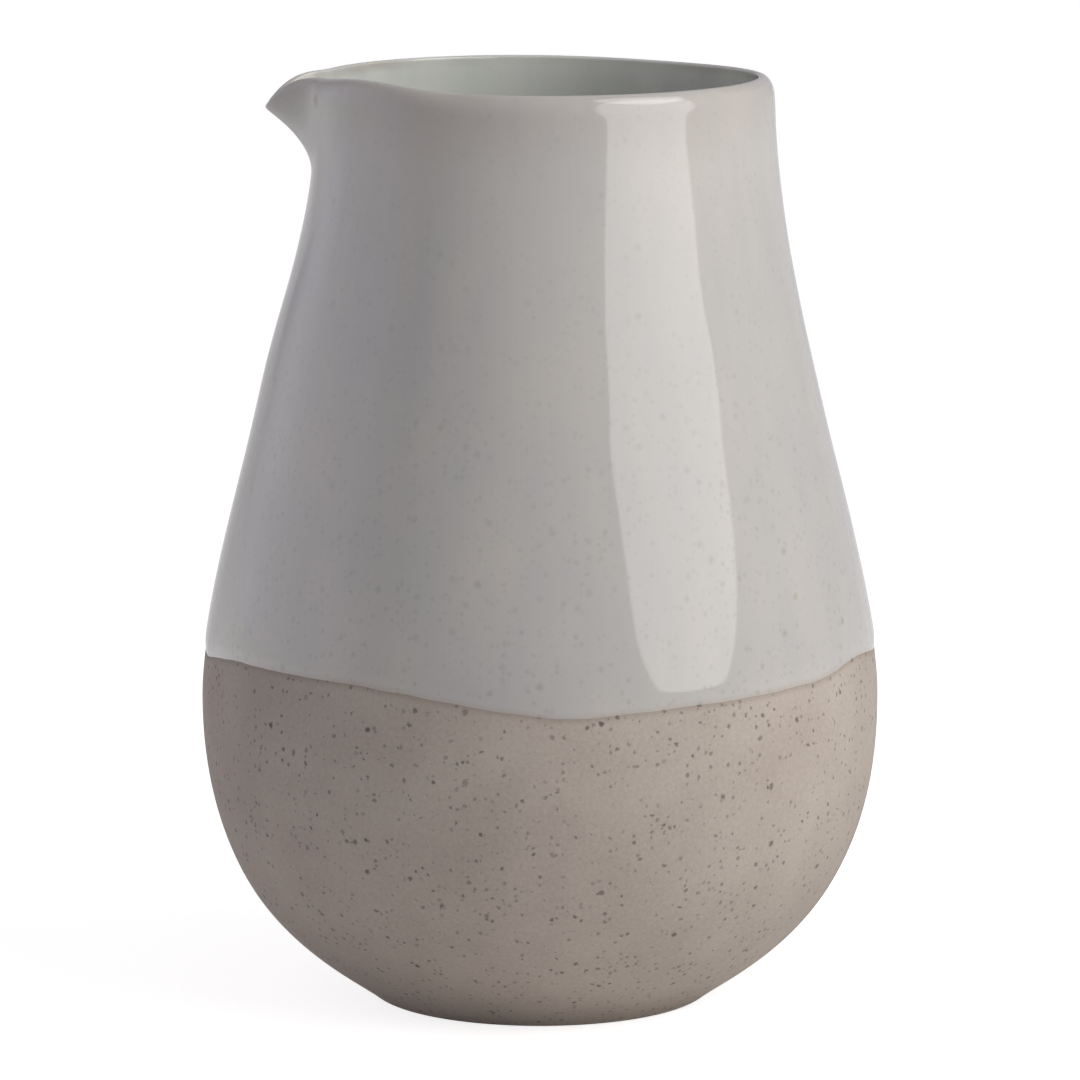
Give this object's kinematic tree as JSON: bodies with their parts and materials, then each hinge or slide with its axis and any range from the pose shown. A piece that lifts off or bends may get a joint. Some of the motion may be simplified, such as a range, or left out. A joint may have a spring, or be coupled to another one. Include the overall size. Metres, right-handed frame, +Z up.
{
  "type": "stoneware jug",
  "caption": "Handle-less pear-shaped stoneware jug with a pulled pouring lip, bare speckled belly, pale dipped glaze above it and a glazed inside",
  "frame": {"origin": "middle of the foot ring, on the plane the jug stands on", "axes": "+Z up along the turning axis, the pouring lip points along -X, the jug is mirror-symmetric in the XZ plane"},
  "size_m": [0.1316, 0.1316, 0.18],
  "materials": {
    "bare_stoneware": "matte unglazed sand-grey stoneware with dark iron specks",
    "pale_glaze": "glossy pale warm-grey glaze, specks showing through faintly",
    "liner_glaze": "glossy pale grey-green glaze on the inside"
  },
  "bodies": {
    "root": {"stoneware_body": "bare_stoneware", "outer_glaze": "pale_glaze", "liner_glaze": "liner_glaze"}
  },
  "joints": []
}
